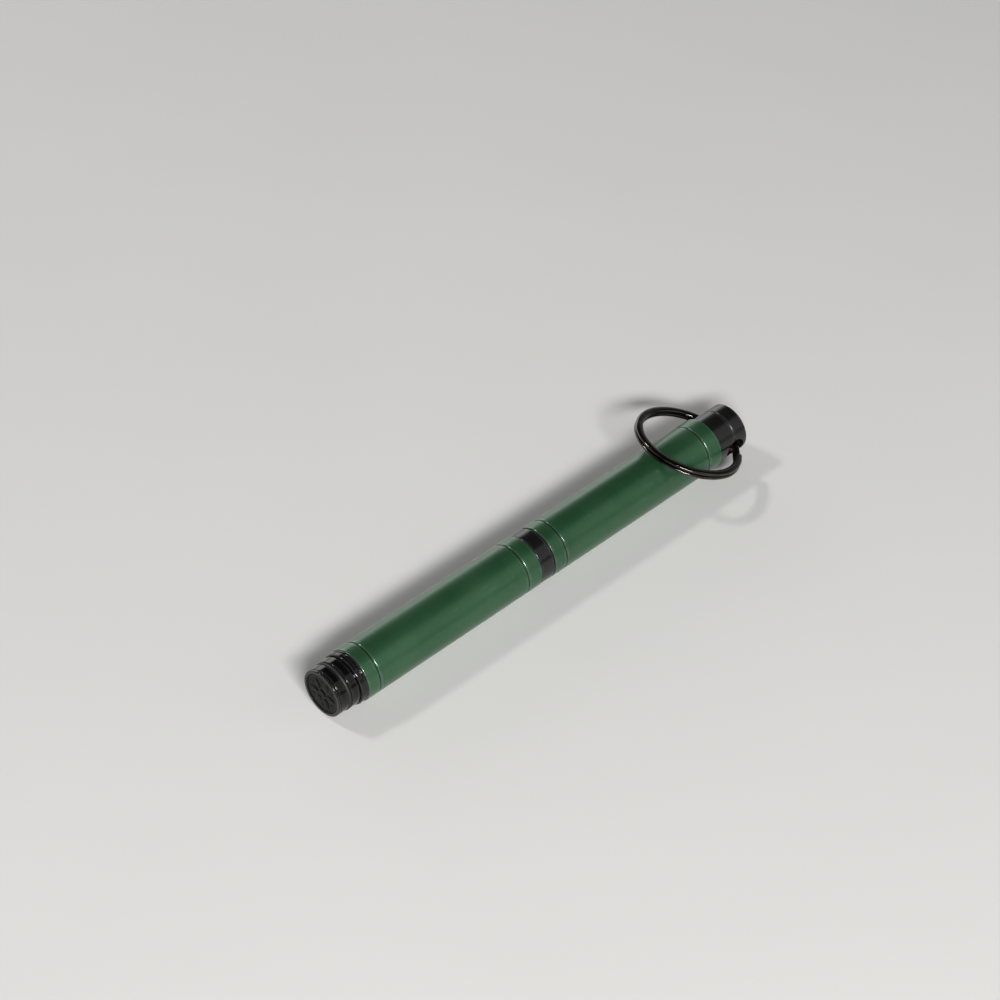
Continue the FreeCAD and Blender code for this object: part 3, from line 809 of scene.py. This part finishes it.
def tail_plug(material):
    """The glossy end plug: recessed face, seal groove, undercut, flange and spigot."""
    corners = [
        (TAIL_RECESS_DEPTH, 0, 0),
        (TAIL_RECESS_DEPTH, TAIL_RECESS_RADIUS, INNER_ROUNDING),
        (0, TAIL_RECESS_RADIUS, TAIL_RIM_ROUNDING),
        (0, TAIL_FRONT_RADIUS, TAIL_FRONT_ROUNDING),
        *turned_groove(TAIL_LINE, TAIL_FRONT_RADIUS, TAIL_LINE_GROOVE),
        (SEAL_GROOVE[0], TAIL_FRONT_RADIUS, SEAL_LIP_ROUNDINGS[0]),
        (SEAL_GROOVE[0], SEAL_FLOOR_RADIUS, INNER_ROUNDING),
        (SEAL_GROOVE[1], SEAL_FLOOR_RADIUS, INNER_ROUNDING),
        (SEAL_GROOVE[1], TAIL_REAR_RADIUS, SEAL_LIP_ROUNDINGS[1]),
        (UNDERCUT_START, TAIL_REAR_RADIUS, TAIL_REAR_ROUNDING),
        (UNDERCUT_START, UNDERCUT_RADIUS, UNDERCUT_ROUNDING),
        (FLANGE[0], UNDERCUT_RADIUS, UNDERCUT_ROUNDING),
        (FLANGE[0], FLANGE_RADIUS, FLANGE_ROUNDINGS[0]),
        *turned_groove(FLANGE_LINE, FLANGE_RADIUS, FLANGE_LINE_GROOVE),
        (FLANGE[1], FLANGE_RADIUS, FLANGE_ROUNDINGS[1]),
        (FLANGE[1], BARREL_BORE_RADIUS, INNER_ROUNDING),
        (TAIL_SPIGOT_END, BARREL_BORE_RADIUS, SPIGOT_ROUNDING),
        (TAIL_SPIGOT_END, REFILL_BORE_RADIUS, SPIGOT_ROUNDING),
        (REFILL_SEAT, REFILL_BORE_RADIUS, INNER_ROUNDING),
        (REFILL_SEAT, 0, 0),
    ]
    turned_piece("tail_body", "tail_plug", "barrel", corners, material)


def eased(value):
    """0 below 0, 1 above 1, and a smooth step between."""
    share = held(value)
    return share * share * (3 - 2 * share)


def rosette_height(radius, angle):
    """Relief of the tail's disc: a boss, six domed petals, six beads and a rim."""
    sector = 2 * math.pi / PETALS
    turn = (angle + sector / 2) % sector - sector / 2
    along, across = radius * math.cos(turn), radius * math.sin(turn)
    height = DISC_FACE * eased((BOSS_FOOT - radius) / (BOSS_FOOT - BOSS_RADIUS))
    share = (along - PETAL_START) / (PETAL_END - PETAL_START)
    if 0 < share < 1:
        swell = math.sin(math.pi * share ** PETAL_LENGTH_POWER)
        width = PETAL_HALF_WIDTH * swell ** PETAL_WIDTH_POWER
        dome = max(0.0, 1 - (across / width) ** 2)
        crease = 1 - CREASE_DEPTH * math.exp(-((across / CREASE_HALF_WIDTH) ** 2))
        height = max(height, PETAL_HEIGHT * dome ** PETAL_DOME_POWER * crease)
    bead_turn = angle % sector - sector / 2
    from_bead = math.hypot(radius * math.cos(bead_turn) - BEAD_PLACE, radius * math.sin(bead_turn))
    if from_bead < BEAD_RADIUS:
        height = max(height, BEAD_HEIGHT * math.sqrt(1 - (from_bead / BEAD_RADIUS) ** 2))
    rim = eased((radius - DISC_RIM_START) / DISC_RIM_SLOPE)
    fall = eased((radius - DISC_RADIUS + DISC_EDGE_SLOPE) / DISC_EDGE_SLOPE)
    return max(height, DISC_RIM_HEIGHT * rim) * (1 - DISC_EDGE_FALL * fall)


def tail_rosette(material):
    """The raised disc in the tail's face."""
    bm = bmesh.new()
    hub = bm.verts.new((0, 0, 0))
    rings = []
    for step in range(1, DISC_RINGS + 1):
        radius = DISC_RADIUS * step / DISC_RINGS
        rings.append([])
        for side in range(DISC_SIDES):
            angle = 2 * math.pi * side / DISC_SIDES
            place = DISC_FACE - rosette_height(radius, angle)
            rings[-1].append(bm.verts.new((
                place * MM,
                radius * math.cos(angle) * MM,
                radius * math.sin(angle) * MM,
            )))
    rings.append([bm.verts.new((DISC_BACK * MM, v.co.y, v.co.z)) for v in rings[-1]])
    for side in range(DISC_SIDES):
        after = (side + 1) % DISC_SIDES
        bm.faces.new((hub, rings[0][side], rings[0][after]))
        for inner, outer in zip(rings, rings[1:]):
            bm.faces.new((inner[side], outer[side], outer[after], inner[after]))
    bm.faces.new(rings[-1])
    bmesh.ops.recalc_face_normals(bm, faces=bm.faces)
    for face in bm.faces:
        face.smooth = True
    mesh = finished_mesh("tail_rosette", bm)
    mesh.set_sharp_from_angle(angle=math.radians(DISC_SHARP_ANGLE))
    stand_in("tail_rosette", mesh, "tail_medallion", "barrel", material)


# ---------------------------------------------------------------- studio


def studio_floor():
    """A pale disc whose rim curves up all round, so that no edge is seen or mirrored."""
    profile = [(FLOOR_HUB_RADIUS, 0.0), (FLOOR_RADIUS, 0.0)]
    for step in range(1, COVE_STEPS + 1):
        turn = math.radians(COVE_TURN) * step / COVE_STEPS
        out = FLOOR_RADIUS + COVE_RADIUS * math.sin(turn)
        profile.append((out, COVE_RADIUS * (1 - math.cos(turn))))
    bm = bmesh.new()
    rings = []
    for radius, height in profile:
        rings.append([
            bm.verts.new((radius * cosine, radius * sine, FLOOR_HEIGHT + height))
            for cosine, sine in circle(FLOOR_SIDES)
        ])
    bm.faces.new(rings[0])
    for inner, outer in zip(rings, rings[1:]):
        for side in range(FLOOR_SIDES):
            after = (side + 1) % FLOOR_SIDES
            bm.faces.new((inner[side], outer[side], outer[after], inner[after]))
    for face in bm.faces:
        face.smooth = True
    mesh = finished_mesh("studio_floor", bm)
    mesh.materials.append(floor_paper())
    floor = linked("studio_floor", mesh)


def softbox(name, direction, width, height, radiance):
    """An area light of that radiance, which faces the pen from that direction."""
    data = bpy.data.lights.new(name, "AREA")
    data.shape = "RECTANGLE"
    data.size = width
    data.size_y = height
    data.energy = radiance * math.pi * width * height
    lamp = linked(name, data)
    away = Vector(direction).normalized()
    lamp.location = AIM + away * LIGHT_DISTANCE
    lamp.rotation_mode = "QUATERNION"
    lamp.rotation_quaternion = away.to_track_quat("Z", "Y")
    lamp.visible_camera = False


def studio_sky():
    """Dim light from above, a little brighter near the horizon."""
    world = bpy.data.worlds.new("studio_sky")
    bpy.context.scene.world = world
    world.use_nodes = True
    tree = world.node_tree
    place = tree.nodes.new("ShaderNodeTexCoord")
    split = tree.nodes.new("ShaderNodeSeparateXYZ")
    ramp = tree.nodes.new("ShaderNodeValToRGB")
    for element, (position, colour) in zip(ramp.color_ramp.elements, SKY_RAMP):
        element.color = colour
        element.position = position
    tree.links.new(place.outputs["Generated"], split.inputs["Vector"])
    tree.links.new(split.outputs["Z"], ramp.inputs["Fac"])
    tree.links.new(ramp.outputs["Color"], tree.nodes["Background"].inputs["Color"])


def place_camera():
    """The camera of the photograph's view."""
    data = bpy.data.cameras.new("camera")
    data.lens = LENS
    data.sensor_width = SENSOR
    data.clip_start = CLIP_START
    camera = linked("camera", data)
    azimuth, elevation = math.radians(CAMERA_AZIMUTH), math.radians(CAMERA_ELEVATION)
    back = Vector((
        math.sin(azimuth) * math.cos(elevation),
        -math.cos(azimuth) * math.cos(elevation),
        math.sin(elevation),
    ))
    camera.location = AIM + back * CAMERA_DISTANCE
    camera.rotation_mode = "QUATERNION"
    camera.rotation_quaternion = (-back).to_track_quat("-Z", "Y")
    bpy.context.scene.camera = camera


finishes = finish_pieces()
green = finishes["barrel_sleeve"]
sleeve("barrel_tube", "barrel_sleeve", "barrel", BARREL_BORE_RADIUS, BARREL_GROOVES, green)
sleeve("cap_tube", "cap_sleeve", "cap", CAP_BORE_RADIUS, CAP_GROOVES, green)
centre_band(finishes["centre_band"])
cap_end(finishes["cap_end"])
split_ring(finishes["split_ring"])
tail_plug(finishes["tail_plug"])
tail_rosette(finishes["tail_medallion"])
studio_floor()
studio_sky()
for light, settings in LIGHTS.items():
    softbox(light, *settings)
place_camera()
bpy.context.scene.view_settings.view_transform = "Standard"
